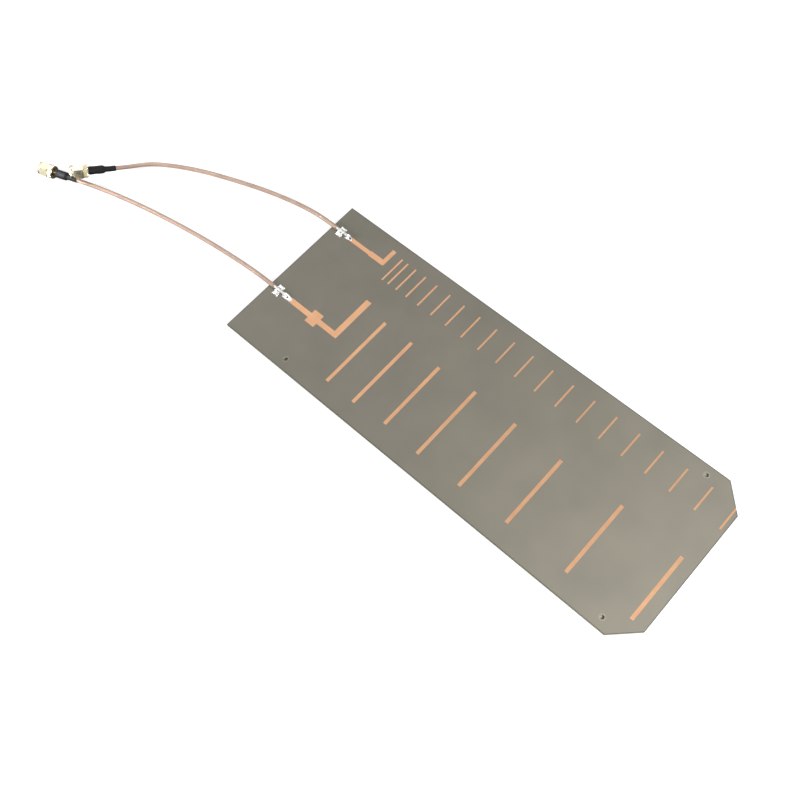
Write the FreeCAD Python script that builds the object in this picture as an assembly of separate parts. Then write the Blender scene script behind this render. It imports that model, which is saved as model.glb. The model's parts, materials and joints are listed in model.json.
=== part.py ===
import FreeCAD, Part

# Two-band directional antenna on one flat printed circuit board, with two coaxial leads.
# Origin: bottom centre of the board. +X runs from the feed end to the far end, +Z is up.
# All sizes are in millimetres.

import math
import os

from FreeCAD import Placement, Rotation, Vector

os.makedirs("parts", exist_ok=True)

# Board
board_length = 268.8
board_thickness = 1.6
corner_cut = 13.0
mount_hole_d = 2.2
near_hole_x = 40.1
far_hole_inset = 18.7
lower_hole_inset = 5.9
corner_hole_end_inset = 23.4
corner_hole_inset = 5.1

# Copper foil, flush in the openings of the board's coat
foil = 0.035

# Axes of the two rows of directors, across the board from one long edge to the other
low_axis_inset = 33.6
row_spacing = 50.3
high_axis_inset = 16.1

# Low band directors: distance of the first from the feed end, then gaps, and lengths
low_first_x = 66.2
low_gaps = [19.0, 21.0, 23.8, 27.3, 30.0, 37.0, 36.5]
low_lengths = [45.8, 46.0, 42.6, 45.6, 44.2, 43.0, 44.0, 39.5]
low_strip = 2.0

# High band directors: the gaps grow towards a limit and the lengths shrink towards one
high_count = 20
high_first_x = 46.05
strip_end_margin = 1.5
high_gap_limit = 15.32
high_gap_start = 4.27
high_gap_ratio = 0.852
high_length_limit = 15.35
high_length_start = 17.1
high_length_ratio = 0.86
high_strip = 1.0

# Driven copper of the low band
low_pad_x = 10.6
low_line_w = 3.1
low_arm_x = 50.2
low_arm_w = 3.6
low_arm_reach = 27.0
low_block_x = 34.3
low_block_l = 6.6
low_block_w = 8.6

# Driven copper of the high band
high_pad_x = 10.4
high_line_w = 2.5
high_wide_w = 3.3
high_step_x = 28.9
high_arm_x = 38.9
high_arm_w = 2.6
high_arm_reach = 9.9
high_elbow_bevel = 0.7

# Rear copper
plane_margin = 1.2
low_plane_end = 26.0
high_plane_end = 28.9
high_plane_half = 13.0
plane_split = 3.0
rear_line_w = 3.4

# Plated holes
feed_hole_x = 13.7
feed_hole_d = 1.2
feed_ring_d = 2.2
ring_isolation = 0.5
shield_via_d = 0.6

# Shield pads under the bared braid
pad_start_x = 4.8
pad_length = 3.8
low_pad_half = 3.3
high_pad_half = 3.0

# Coaxial cable
wire_d = 0.51
inner_d = 1.53
braid_t = 0.21
jacket_t = 0.275
cable_over_board = 0.02
jacket_end_x = 3.6
braid_end_x = 9.6
inner_end_x = 10.8
wire_end_gap = 0.2
wire_knee_gap = 0.1
wire_bend_r = 0.5
wire_bend_angle = 50.0

# Solder
solder_inset = 0.1
solder_skin = 0.13
solder_rim = 0.12
solder_side_angle = 20.0
solder_sag = 0.3
solder_corner = 0.4
feed_solder_h = 0.28
low_solder_length = 6.6
low_solder_w = 2.9
high_solder_length = 4.6
bead_r = 0.62
bead_top_r = 0.34
bead_h = 0.72
bead_overhang = 0.1

# Coaxial plug: distances run along its axis from the front of the nut towards the cable
nut_flats = 8.0
nut_length = 10.0
nut_lip = 1.6
nut_lip_step = 0.15
nut_end_bevel = 0.45
nut_end_drop = 0.62
thread_d = 5.76
thread_depth = 5.4
thread_lead_in = 0.35
relief_depth = 0.37
relief_end = 7.2
nut_recess_start = 8.7
nut_recess_play = 0.25
ring_start = 7.7
ring_t = 0.5
ring_play = 0.05
ring_gap = 1.2
groove_depth = 0.44
spin_play = 0.08
seat_play = 0.02
mating_face = 4.2
mating_tube_t = 0.21
shoulder_start = 6.8
shoulder_step = 0.42
gasket_t = 0.75
gasket_gap = 0.45
collar_step = 0.5
collar_gap = 0.15
collar_t = 1.05
collar_bevel = 0.25
insulator_d = 4.1
insulator_step_x = 7.2
insulator_step = 0.5
insulator_end = 9.6
pin_d = 0.92
pin_tip = 1.95
pin_tip_l = 0.35
contact_step_x = 4.9
contact_end = 10.6
cup_depth = 1.6
cup_play = 0.02
cup_t = 0.36
stem_t = 0.445
stem_bore_play = 0.04
stem_end = 16.5
braid_flare_l = 0.9
ferrule_start = 10.2
ferrule_end = 18.6
ferrule_play = 0.07
ferrule_t = 0.5
crimp_depth = 0.175
crimp_start = 11.4
crimp_end = 16.6
jacket_in_plug = 19.0
shrink_start = 10.1
shrink_step = 19.1
shrink_slope = 1.1
shrink_end = 26.3
shrink_wall = 0.4
shrink_play = 0.03

# Where the plugs lie, from the middle of the feed end. Each rests on what is under it
low_plug_x = -165.0
low_plug_y = -49.0
low_plug_turn = 18.5
high_plug_x = -141.5
high_plug_y = -41.6
high_plug_turn = 59.0
high_plug_dip = 15.9
high_nut_roll = 3.5
plug_rest_gap = 0.95
plug_lead = 32.3

# Free points of each lead from the feed to the plug, from the middle of the feed end:
# x, y and the lift of the cable's underside above the surface that it lies on
low_lead_points = [
    (-14.0, -16.4, 0.7),
    (-28.0, -17.1, 0.0),
    (-50.0, -19.4, 0.0),
    (-74.0, -23.0, 0.0),
    (-98.0, -27.6, 0.0),
    (-118.0, -32.9, 0.9),
]
high_lead_points = [
    (-13.5, 33.9, 0.7),
    (-27.0, 32.3, 0.0),
    (-47.0, 27.5, 0.0),
    (-68.0, 20.5, 0.0),
    (-89.0, 12.5, 0.0),
    (-105.0, 4.3, 0.0),
    (-117.2, -4.5, 0.2),
]
lead_start_run = 8.2

# How far a cutting tool runs past the face that it opens
past = 1.0

# Worked out from the sizes above
board_width = low_axis_inset + row_spacing + high_axis_inset
feed_x = -board_length / 2
low_y = -board_width / 2 + low_axis_inset
high_y = low_y + row_spacing
braid_d = inner_d + 2 * braid_t
cable_r = braid_d / 2 + jacket_t
wire_end_x = feed_hole_x - feed_hole_d / 2 - wire_end_gap
feed_cable_z = board_thickness + cable_r + cable_over_board
nut_corner_r = nut_flats / math.sqrt(3)
tube_r = insulator_d / 2 + seat_play + mating_tube_t
neck_r = tube_r + shoulder_step
nut_bore_r = neck_r + spin_play
collar_r = neck_r + collar_step
relief_r = thread_d / 2 + relief_depth
contact_r = wire_d / 2 + cup_play + cup_t
stem_bore_r = inner_d / 2 + stem_bore_play
stem_r = stem_bore_r + stem_t
flare_r = stem_r + seat_play + braid_t
ferrule_bore_r = max(flare_r, cable_r) + ferrule_play
ferrule_r = ferrule_bore_r + ferrule_t
shrink_tail_r = cable_r + shrink_play + shrink_wall
low_plug_z = nut_flats / 2
high_plug_z = low_plug_z + shrink_tail_r + nut_corner_r + plug_rest_gap


def block(x0, x1, y0, y1, z0, z1):
    return Part.makeBox(x1 - x0, y1 - y0, z1 - z0, Vector(x0, y0, z0))


def rod(r, x0, x1, y, z):
    return Part.makeCylinder(r, x1 - x0, Vector(x0, y, z), Vector(1, 0, 0))


def tube(r_out, r_in, x0, x1, y, z):
    return rod(r_out, x0, x1, y, z).cut(rod(r_in, x0, x1, y, z))


def hole(d, x, y, z0=0.0, z1=board_thickness):
    return Part.makeCylinder(d / 2, z1 - z0, Vector(x, y, z0))


def turned(profile):
    """A body of revolution about X, from its (x, r) profile."""
    points = [Vector(x, 0, r) for x, r in profile]
    face = Part.Face(Part.makePolygon(points + points[:1]))
    return face.revolve(Vector(0, 0, 0), Vector(1, 0, 0), 360)


def hexagon(flats, x0, x1):
    """A hexagonal bar along X with flats facing up and down."""
    corner = flats / math.sqrt(3)
    points = []
    for i in range(6):
        angle = math.radians(60 * i)
        points.append(Vector(x0, corner * math.cos(angle), corner * math.sin(angle)))
    face = Part.Face(Part.makePolygon(points + points[:1]))
    return face.extrude(Vector(x1 - x0, 0, 0))


def joined(shapes):
    return shapes[0].fuse(shapes[1:]).removeSplitter()


def write(name, *shapes):
    shape = shapes[0] if len(shapes) == 1 else Part.makeCompound(list(shapes))
    shape.exportStep("parts/" + name + ".step")


# Board outline and holes
def board_blank():
    x0, x1 = feed_x, -feed_x
    y0, y1 = -board_width / 2, board_width / 2
    outline = [
        (x0, y0), (x1 - corner_cut, y0), (x1, y0 + corner_cut),
        (x1, y1 - corner_cut), (x1 - corner_cut, y1), (x0, y1),
    ]
    points = [Vector(x, y, 0) for x, y in outline]
    face = Part.Face(Part.makePolygon(points + points[:1]))
    return face.extrude(Vector(0, 0, board_thickness))


def mount_holes():
    lower_y = -board_width / 2 + lower_hole_inset
    upper_y = board_width / 2 - corner_hole_inset
    return [
        hole(mount_hole_d, feed_x + near_hole_x, lower_y),
        hole(mount_hole_d, -feed_x - far_hole_inset, lower_y),
        hole(mount_hole_d, -feed_x - corner_hole_end_inset, upper_y),
    ]


# Directors
def director(x, y, length, strip, blank):
    foil_top = block(
        x - strip / 2, x + strip / 2, y - length / 2, y + length / 2,
        board_thickness - foil, board_thickness)
    return foil_top.common(blank)


def fits(x, strip):
    return x + strip / 2 + strip_end_margin < board_length


def low_directors(blank):
    made = []
    x = low_first_x
    for length, gap in zip(low_lengths, low_gaps + [0]):
        if fits(x, low_strip):
            made.append(director(feed_x + x, low_y, length, low_strip, blank))
        x += gap
    return made


def high_directors(blank):
    made = []
    x = high_first_x
    for i in range(high_count):
        length = high_length_limit + (high_length_start - high_length_limit) * high_length_ratio ** i
        if fits(x, high_strip):
            made.append(director(feed_x + x, high_y, length, high_strip, blank))
        x += high_gap_limit - (high_gap_limit - high_gap_start) * high_gap_ratio ** i
    return made


# Driven copper: the line and arm on the front, and the plated hole at the line's end
def plated_hole(x, y, finished_d):
    return hole(finished_d + 2 * foil, x, y).cut(hole(finished_d, x, y))


def front_foil(x0, x1, y0, y1):
    return block(x0, x1, y0, y1, board_thickness - foil, board_thickness)


def with_feed_hole(front, y):
    """Joins the front foil to the plated hole and its ring on the rear."""
    x = feed_x + feed_hole_x
    rear_ring = hole(feed_ring_d, x, y, 0.0, foil)
    solid = joined(front + [rear_ring, plated_hole(x, y, feed_hole_d)])
    return solid.cut(hole(feed_hole_d, x, y))


def low_driven():
    end = feed_x + low_arm_x + low_arm_w / 2
    block_x = feed_x + low_block_x
    line = front_foil(feed_x + low_pad_x, end, low_y - low_line_w / 2, low_y + low_line_w / 2)
    arm = front_foil(end - low_arm_w, end, low_y - low_line_w / 2, low_y + low_arm_reach)
    matching = front_foil(
        block_x - low_block_l / 2, block_x + low_block_l / 2,
        low_y - low_block_w / 2, low_y + low_block_w / 2)
    return with_feed_hole([line, arm, matching], low_y)


def high_driven():
    end = feed_x + high_arm_x + high_arm_w / 2
    low_side = high_y - high_wide_w / 2
    line = front_foil(feed_x + high_pad_x, end, high_y - high_line_w / 2, high_y + high_line_w / 2)
    wide = front_foil(feed_x + high_step_x, end, low_side, high_y + high_wide_w / 2)
    arm = front_foil(end - high_arm_w, end, low_side, high_y + high_arm_reach)
    elbow = joined([wide, arm])
    outer = [e for e in elbow.Edges if e.BoundBox.ZLength > foil / 2 and e.BoundBox.XMin > end - foil
             and e.BoundBox.YMax < low_side + foil]
    return with_feed_hole([line, elbow.makeChamfer(high_elbow_bevel, outer)], high_y)


# Ground copper: front shield pad, its plated holes, and the rear plane, line and arm
def shield_vias(y, half):
    x = feed_x + pad_start_x + pad_length / 2
    offset = (braid_d / 2 + half) / 2
    return [(x, y - offset), (x, y + offset)]


def ground(y, plane_y0, plane_y1, plane_end, arm_x, arm_w, reach, half):
    pad = block(
        feed_x + pad_start_x, feed_x + pad_start_x + pad_length, y - half, y + half,
        board_thickness - foil, board_thickness)
    plane = block(feed_x + plane_margin, feed_x + plane_end, plane_y0, plane_y1, 0, foil)
    line = block(
        feed_x + plane_margin, feed_x + arm_x + arm_w / 2,
        y - rear_line_w / 2, y + rear_line_w / 2, 0, foil)
    arm = block(
        feed_x + arm_x - arm_w / 2, feed_x + arm_x + arm_w / 2, y - reach, y + rear_line_w / 2, 0, foil)
    vias = shield_vias(y, half)
    barrels = [plated_hole(vx, vy, shield_via_d) for vx, vy in vias]
    solid = joined([plane, line, arm, pad] + barrels)
    clear = hole(feed_ring_d + 2 * ring_isolation, feed_x + feed_hole_x, y)
    return solid.cut([clear] + [hole(shield_via_d, vx, vy) for vx, vy in vias])


def low_ground():
    high_plane_bottom = high_y - high_plane_half
    return ground(
        low_y, -board_width / 2 + plane_margin, high_plane_bottom - plane_split, low_plane_end,
        low_arm_x, low_arm_w, low_arm_reach, low_pad_half)


def high_ground():
    return ground(
        high_y, high_y - high_plane_half, board_width / 2 - plane_margin, high_plane_end,
        high_arm_x, high_arm_w, high_arm_reach, high_pad_half)


def board(blank, copper):
    """The laminate, drilled to the middle of each plated wall, then cut by all the copper."""
    drilled = [hole(feed_hole_d + foil, feed_x + feed_hole_x, y) for y in (low_y, high_y)]
    for y, half in ((low_y, low_pad_half), (high_y, high_pad_half)):
        drilled += [hole(shield_via_d + foil, vx, vy) for vx, vy in shield_vias(y, half)]
    return blank.cut(mount_holes() + drilled + copper)


# Bared cable end and solder on the board
def round_bar(radius, points, bends):
    """A round bar of straight runs joined by tangent arcs; returns it with its length."""
    solids = []
    length = 0.0
    here = points[0]
    for before, corner, after, bend in zip(points, points[1:], points[2:], bends):
        back = before - corner
        ahead = after - corner
        turn = math.pi - back.getAngle(ahead)
        reach = bend * math.tan(turn / 2)
        back.normalize()
        ahead.normalize()
        start = corner + back * reach
        inward = back + ahead
        inward.normalize()
        centre = corner + inward * (bend / math.cos(turn / 2))
        axis = ahead.cross(back)
        section = Part.Face(Part.Wire(Part.makeCircle(radius, start, back)))
        arc = section.revolve(centre, axis, math.degrees(turn))
        solids += [Part.makeCylinder(radius, (start - here).Length, here, start - here), arc]
        length += (start - here).Length + turn * bend
        here = corner + ahead * reach
    last = points[-1] - here
    solids.append(Part.makeCylinder(radius, last.Length, here, last))
    return solids[0].fuse(solids[1:]), length + last.Length


def bent_wire(y):
    """The centre conductor leaves its insulation and bends down to the pad in two arcs."""
    half = wire_d / 2
    drop = feed_cable_z - board_thickness - half - cable_over_board
    turn = math.radians(wire_bend_angle)
    slope = drop / math.tan(turn)
    reach = wire_bend_r * math.tan(turn / 2)
    knee = feed_x + inner_end_x + wire_knee_gap + reach
    points = [
        Vector(feed_x + jacket_end_x, y, feed_cable_z), Vector(knee, y, feed_cable_z),
        Vector(knee + slope, y, feed_cable_z - drop), Vector(feed_x + wire_end_x, y, feed_cable_z - drop),
    ]
    return round_bar(half, points, [wire_bend_r, wire_bend_r])[0]


def feed_end(y):
    braid = tube(braid_d / 2, inner_d / 2, feed_x + jacket_end_x, feed_x + braid_end_x, y, feed_cable_z)
    inner = tube(inner_d / 2, wire_d / 2, feed_x + jacket_end_x, feed_x + inner_end_x, y, feed_cable_z)
    return braid, inner, bent_wire(y)


def shield_solder(y, half):
    """Solder over the braid, sloping down to the pad at each side."""
    x0 = feed_x + pad_start_x + solder_inset
    top = board_thickness
    crown_r = braid_d / 2 + solder_skin
    edge = half - solder_inset
    rim = top + solder_rim
    side_y = crown_r * math.cos(math.radians(solder_side_angle))
    side_z = feed_cable_z - crown_r * math.sin(math.radians(solder_side_angle))
    sag = (side_z - rim) * solder_sag

    def at(dy, z):
        return Vector(x0, y + dy, z)

    mid_y = (edge + side_y) / 2
    mid_z = (side_z + rim) / 2 - sag
    profile = Part.Wire([
        Part.LineSegment(at(-edge, top), at(-edge, rim)).toShape(),
        Part.Arc(at(-edge, rim), at(-mid_y, mid_z), at(-side_y, side_z)).toShape(),
        Part.Arc(at(-side_y, side_z), at(0, feed_cable_z + crown_r), at(side_y, side_z)).toShape(),
        Part.Arc(at(side_y, side_z), at(mid_y, mid_z), at(edge, rim)).toShape(),
        Part.LineSegment(at(edge, rim), at(edge, top)).toShape(),
        Part.LineSegment(at(edge, top), at(-edge, top)).toShape(),
    ])
    length = pad_length - 2 * solder_inset
    return Part.Face(profile).extrude(Vector(length, 0, 0)).cut(
        rod(braid_d / 2, x0 - past, x0 + length + past, y, feed_cable_z))


def feed_solder(y, pad_x, width, length, wire):
    """A low bed of solder round the plated hole, heaped up over the wire's end."""
    x0 = feed_x + pad_x + solder_inset
    top = board_thickness
    bed = block(x0, x0 + length, y - width / 2, y + width / 2, top, top + feed_solder_h)
    upright = [e for e in bed.Edges if e.BoundBox.ZLength > feed_solder_h / 2]
    bed = bed.makeFillet(width * solder_corner, upright)
    bead_x = feed_x + wire_end_x - bead_r + bead_overhang
    bead = Part.makeCone(bead_r, bead_top_r, bead_h, Vector(bead_x, y, top))
    drilled = hole(feed_hole_d, feed_x + feed_hole_x, y, 0, top + bead_h)
    return joined([bed, bead]).cut([drilled, wire])


# Leads
def bend_radii(points):
    """The largest bend at each corner that leaves a tenth of the shorter run straight."""
    radii = []
    for before, corner, after in zip(points, points[1:], points[2:]):
        back = before - corner
        ahead = after - corner
        half_turn = (math.pi - back.getAngle(ahead)) / 2
        radii.append(0.45 * min(back.Length, ahead.Length) / math.tan(half_turn))
    return radii


def plug_placement(x, y, z, turn, dip):
    rotation = Rotation(Vector(0, 0, 1), turn) * Rotation(Vector(0, 1, 0), dip)
    return Placement(Vector(feed_x + x, y, z), rotation)


def lead_route(exit_y, free_points, placement):
    start = Vector(feed_x + jacket_end_x, exit_y, feed_cable_z)
    points = [start, start - Vector(lead_start_run, 0, 0)]
    points += [Vector(feed_x + x, y, cable_r + lift) for x, y, lift in free_points]
    points.append(placement.multVec(Vector(plug_lead, 0, 0)))
    points.append(placement.multVec(Vector(jacket_in_plug, 0, 0)))
    return points


def jacket(name, route):
    radii = bend_radii(route)
    solid, length = round_bar(cable_r, route, radii)
    expected = math.pi * cable_r ** 2 * length
    print(name, "length", round(length, 2), "volume ratio", round(solid.Volume / expected, 5))
    print(name, "radii", [round(r, 1) for r in radii])
    return solid


# Plug pieces, along X from the front of the nut
def coupling_nut():
    lip_r = nut_flats / 2 - nut_lip_step
    envelope = turned([
        (0, 0), (0, lip_r - thread_lead_in), (thread_lead_in, lip_r), (nut_lip, lip_r),
        (nut_lip + nut_end_bevel, nut_corner_r), (nut_length - nut_end_bevel, nut_corner_r),
        (nut_length, nut_corner_r - nut_end_drop), (nut_length, 0),
    ])
    lip = rod(lip_r, 0, nut_lip, 0, 0)
    bar = joined([hexagon(nut_flats, nut_lip, nut_length), lip])
    groove_start = ring_start - ring_play
    groove_end = ring_start + ring_t + ring_play
    groove_r = nut_bore_r + groove_depth
    recess_r = collar_r + nut_recess_play
    thread_r = thread_d / 2
    cavity = turned([
        (-past, 0), (-past, thread_r + thread_lead_in), (0, thread_r + thread_lead_in),
        (thread_lead_in, thread_r), (thread_depth, thread_r), (thread_depth, relief_r),
        (relief_end, relief_r), (relief_end, nut_bore_r), (groove_start, nut_bore_r), (groove_start, groove_r),
        (groove_end, groove_r), (groove_end, nut_bore_r), (nut_recess_start, nut_bore_r),
        (nut_recess_start, recess_r), (nut_length + past, recess_r), (nut_length + past, 0),
    ])
    return bar.common(envelope).cut(cavity)


def retaining_ring():
    outer = nut_bore_r + groove_depth - ring_play
    inner = neck_r - groove_depth + ring_play
    end = ring_start + ring_t
    ring = turned([(ring_start, inner), (ring_start, outer), (end, outer), (end, inner)])
    return ring.cut(block(ring_start - past, end + past, -ring_gap / 2, ring_gap / 2, 0, outer + past))


def plug_body():
    groove_start = ring_start - ring_play
    groove_end = ring_start + ring_t + ring_play
    collar_start = nut_recess_start + collar_gap
    collar_end = collar_start + collar_t
    bore_r = insulator_d / 2 + seat_play
    rear_bore_r = bore_r - insulator_step
    tip_bevel = mating_tube_t / 2
    return turned([
        (mating_face, bore_r), (mating_face, tube_r - tip_bevel), (mating_face + tip_bevel, tube_r),
        (shoulder_start, tube_r), (shoulder_start, neck_r),
        (groove_start, neck_r), (groove_start, neck_r - groove_depth),
        (groove_end, neck_r - groove_depth), (groove_end, neck_r),
        (collar_start, neck_r), (collar_start, collar_r),
        (collar_end - collar_bevel, collar_r), (collar_end, collar_r - collar_bevel),
        (collar_end, stem_r), (stem_end, stem_r), (stem_end, stem_bore_r),
        (insulator_end, stem_bore_r), (insulator_end, rear_bore_r),
        (insulator_step_x, rear_bore_r), (insulator_step_x, bore_r),
    ])


def plug_insulator():
    outer = insulator_d / 2
    step_x = insulator_step_x - seat_play
    end = insulator_end - seat_play
    contact_x = contact_step_x - seat_play
    pin_bore = pin_d / 2 + seat_play
    contact_bore = contact_r + seat_play
    return turned([
        (mating_face, pin_bore), (mating_face, outer), (step_x, outer), (step_x, outer - insulator_step),
        (end, outer - insulator_step), (end, contact_bore),
        (contact_x, contact_bore), (contact_x, pin_bore),
    ])


def centre_contact():
    pin_r = pin_d / 2
    cup_r = wire_d / 2 + cup_play
    return turned([
        (pin_tip, 0), (pin_tip, pin_r / 2), (pin_tip + pin_tip_l, pin_r), (contact_step_x, pin_r),
        (contact_step_x, contact_r), (contact_end, contact_r), (contact_end, cup_r),
        (contact_end - cup_depth, cup_r), (contact_end - cup_depth, 0),
    ])


def gasket():
    end = shoulder_start - seat_play
    return tube(relief_r - gasket_gap, tube_r + seat_play, end - gasket_t, end, 0, 0)


def flared_braid():
    """The braid opens out over the body's stem, under the ferrule."""
    over_stem = stem_r + seat_play
    start = ferrule_start + seat_play
    rear = stem_end + seat_play
    return turned([
        (start, over_stem), (start, flare_r), (rear, flare_r), (rear + braid_flare_l, braid_d / 2),
        (jacket_in_plug, braid_d / 2), (jacket_in_plug, inner_d / 2), (rear + braid_flare_l, inner_d / 2),
        (rear, over_stem),
    ])


def ferrule():
    """A tube pressed to a hexagon over the stem."""
    shell = tube(ferrule_r, ferrule_bore_r, ferrule_start, ferrule_end, 0, 0)
    pressed = hexagon(2 * (ferrule_r - crimp_depth), crimp_start, crimp_end)
    band = rod(2 * ferrule_r, crimp_start, crimp_end, 0, 0).cut(pressed)
    return shell.cut(band)


def shrink_sleeve():
    big = ferrule_r + shrink_play
    small = cable_r + shrink_play
    wall = shrink_wall
    slope_start = shrink_step - wall
    slope_end = shrink_step + shrink_slope
    return turned([
        (shrink_start, big), (shrink_start, big + wall), (shrink_step, big + wall),
        (slope_end, small + wall), (shrink_end, small + wall), (shrink_end, small),
        (slope_end, small), (slope_start, big),
    ])


def inner_in_plug():
    return tube(inner_d / 2, wire_d / 2, contact_end + seat_play, jacket_in_plug, 0, 0)


def wire_in_plug():
    return rod(wire_d / 2, contact_end - cup_depth + seat_play, jacket_in_plug, 0, 0)


def placed(shape, placement):
    moved = shape.copy()
    moved.Placement = placement.multiply(moved.Placement)
    return moved


def write_plug(band, placement, roll):
    rolled = placement.multiply(Placement(Vector(0, 0, 0), Rotation(Vector(1, 0, 0), roll)))
    write(band + "_coupling_nut", placed(coupling_nut(), rolled))
    write(band + "_retaining_ring", placed(retaining_ring(), placement))
    write(band + "_plug_body", placed(plug_body(), placement))
    write(band + "_plug_insulator", placed(plug_insulator(), placement))
    write(band + "_centre_contact", placed(centre_contact(), placement))
    write(band + "_gasket", placed(gasket(), placement))
    write(band + "_crimp_ferrule", placed(ferrule(), placement))
    write(band + "_heat_shrink", placed(shrink_sleeve(), placement))


def write_lead(band, y, half, pad_x, solder_w, solder_length, free_points, placement):
    braid, inner, wire = feed_end(y)
    write(band + "_cable_jacket", jacket(band, lead_route(y, free_points, placement)))
    write(band + "_cable_braid", braid, placed(flared_braid(), placement))
    write(band + "_cable_insulation", inner, placed(inner_in_plug(), placement))
    write(band + "_cable_wire", wire, placed(wire_in_plug(), placement))
    write(band + "_solder", shield_solder(y, half), feed_solder(y, pad_x, solder_w, solder_length, wire))


blank = board_blank()
long_directors = low_directors(blank)
short_directors = high_directors(blank)
driven_copper = [low_driven(), high_driven()]
ground_copper = [low_ground(), high_ground()]
write("board", board(blank, long_directors + short_directors + driven_copper + ground_copper))
for number, shape in enumerate(long_directors, 1):
    write("low_director_%d" % number, shape)
for number, shape in enumerate(short_directors, 1):
    write("high_director_%02d" % number, shape)
write("low_driven_copper", driven_copper[0])
write("high_driven_copper", driven_copper[1])
write("low_ground_copper", ground_copper[0])
write("high_ground_copper", ground_copper[1])

low_placement = plug_placement(low_plug_x, low_plug_y, low_plug_z, low_plug_turn, 0)
high_placement = plug_placement(high_plug_x, high_plug_y, high_plug_z, high_plug_turn, high_plug_dip)
write_plug("low", low_placement, 0)
write_plug("high", high_placement, high_nut_roll)
write_lead(
    "low", low_y, low_pad_half, low_pad_x, low_solder_w, low_solder_length, low_lead_points, low_placement)
write_lead(
    "high", high_y, high_pad_half, high_pad_x, high_line_w, high_solder_length, high_lead_points,
    high_placement)
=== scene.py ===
import json
import math

import bmesh
import bpy
from mathutils import Matrix, Vector, noise


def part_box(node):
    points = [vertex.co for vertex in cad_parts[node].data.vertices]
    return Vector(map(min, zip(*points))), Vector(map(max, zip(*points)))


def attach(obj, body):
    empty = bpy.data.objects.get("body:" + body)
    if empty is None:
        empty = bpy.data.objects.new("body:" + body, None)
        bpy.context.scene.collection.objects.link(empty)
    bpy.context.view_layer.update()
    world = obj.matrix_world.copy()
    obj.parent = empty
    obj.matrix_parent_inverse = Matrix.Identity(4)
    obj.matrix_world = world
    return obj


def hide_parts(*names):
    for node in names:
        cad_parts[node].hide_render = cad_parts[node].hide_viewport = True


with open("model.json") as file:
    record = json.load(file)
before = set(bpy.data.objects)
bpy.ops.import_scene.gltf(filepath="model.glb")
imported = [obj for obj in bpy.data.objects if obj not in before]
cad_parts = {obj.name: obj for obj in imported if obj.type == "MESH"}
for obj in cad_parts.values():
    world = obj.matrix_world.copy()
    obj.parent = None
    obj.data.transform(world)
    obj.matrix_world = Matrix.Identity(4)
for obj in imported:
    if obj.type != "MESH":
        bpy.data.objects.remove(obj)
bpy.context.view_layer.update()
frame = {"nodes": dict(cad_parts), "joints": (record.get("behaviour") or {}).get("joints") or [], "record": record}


# Places that the frame gives, in metres
def row_middle(first_strip):
    """The y of the line through the middles of a row's strips."""
    low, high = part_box(first_strip)
    return (low.y + high.y) / 2


joints = {joint["name"]: joint for joint in frame["joints"]}
mounts = {mount["name"]: mount for mount in frame["record"]["mounts"]}
board_low, board_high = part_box("board")
feed_x = board_low.x
top = board_high.z
low_y = row_middle("low_director_1")
high_y = row_middle("high_director_01")

# The cable and where it is stripped, measured from the feed end of the board
cable_r = 0.00125
cable_gap = 0.00002
feed_cable_z = top + cable_r + cable_gap
braid_r = 0.000975
braid_pitch = 0.0065
bundles = 8
jacket_end_x = 0.0036
braid_end_x = 0.0096
wire_joint_x = 0.0125
feed_hole_x = 0.0137
feed_hole_r = 0.0006

# The leads' routes from the feed to the plug: x from the feed end, y, and the lift off the floor
lead_start_run = 0.0082
plug_lead = 0.0323
jacket_in_plug = 0.019
low_lead_points = [
    (-0.0140, -0.0164, 0.0007),
    (-0.0280, -0.0171, 0.0),
    (-0.0500, -0.0194, 0.0),
    (-0.0740, -0.0230, 0.0),
    (-0.0980, -0.0276, 0.0),
    (-0.1180, -0.0329, 0.0009),
]
high_lead_points = [
    (-0.0135, 0.0339, 0.0007),
    (-0.0270, 0.0323, 0.0),
    (-0.0470, 0.0275, 0.0),
    (-0.0680, 0.0205, 0.0),
    (-0.0890, 0.0125, 0.0),
    (-0.1050, 0.0043, 0.0),
    (-0.1172, -0.0038, 0.0002),
]


def joint_frame(name):
    """A plug's own axes: X runs from the front of its nut towards the cable."""
    joint = joints[name]
    along = Vector(joint["axis"]).normalized()
    across = Vector((0, 0, 1)).cross(along).normalized()
    turned = Matrix((along, across, along.cross(across))).transposed().to_4x4()
    return Matrix.Translation(Vector(joint["pos_m"])) @ turned


plug_frames = {"low": joint_frame("low_nut_spin"), "high": joint_frame("high_nut_spin")}


# Shader helpers. A value is a number, a vector, a colour or a socket to link from
tint_range = (0.35, 0.65)
vary_range = (0.3, 0.7)


def put(tree, socket, value):
    if isinstance(value, bpy.types.NodeSocket):
        tree.links.new(value, socket)
    else:
        socket.default_value = value


def add(tree, kind, values=None, **settings):
    """One shader node, with values for its inputs by name or number."""
    node = tree.nodes.new(kind)
    for name, setting in settings.items():
        setattr(node, name, setting)
    for key, value in (values or {}).items():
        put(tree, node.inputs[key], value)
    return node


def new_material(name):
    material = bpy.data.materials.new(name)
    material.use_nodes = True
    return material, material.node_tree


def set_shader(material, values):
    tree = material.node_tree
    for name, value in values.items():
        put(tree, tree.nodes["Principled BSDF"].inputs[name], value)


def object_place(tree, scale=(1, 1, 1)):
    coordinates = add(tree, "ShaderNodeTexCoord").outputs["Object"]
    return add(tree, "ShaderNodeMapping", {"Vector": coordinates, "Scale": scale}).outputs[0]


def components(tree, vector):
    return add(tree, "ShaderNodeSeparateXYZ", {0: vector}).outputs


def distance(tree, place, point):
    node = add(tree, "ShaderNodeVectorMath", {0: place, 1: point}, operation="DISTANCE")
    return node.outputs["Value"]


def maths(tree, operation, first, second=0.0):
    return add(tree, "ShaderNodeMath", {0: first, 1: second}, operation=operation).outputs[0]


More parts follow.
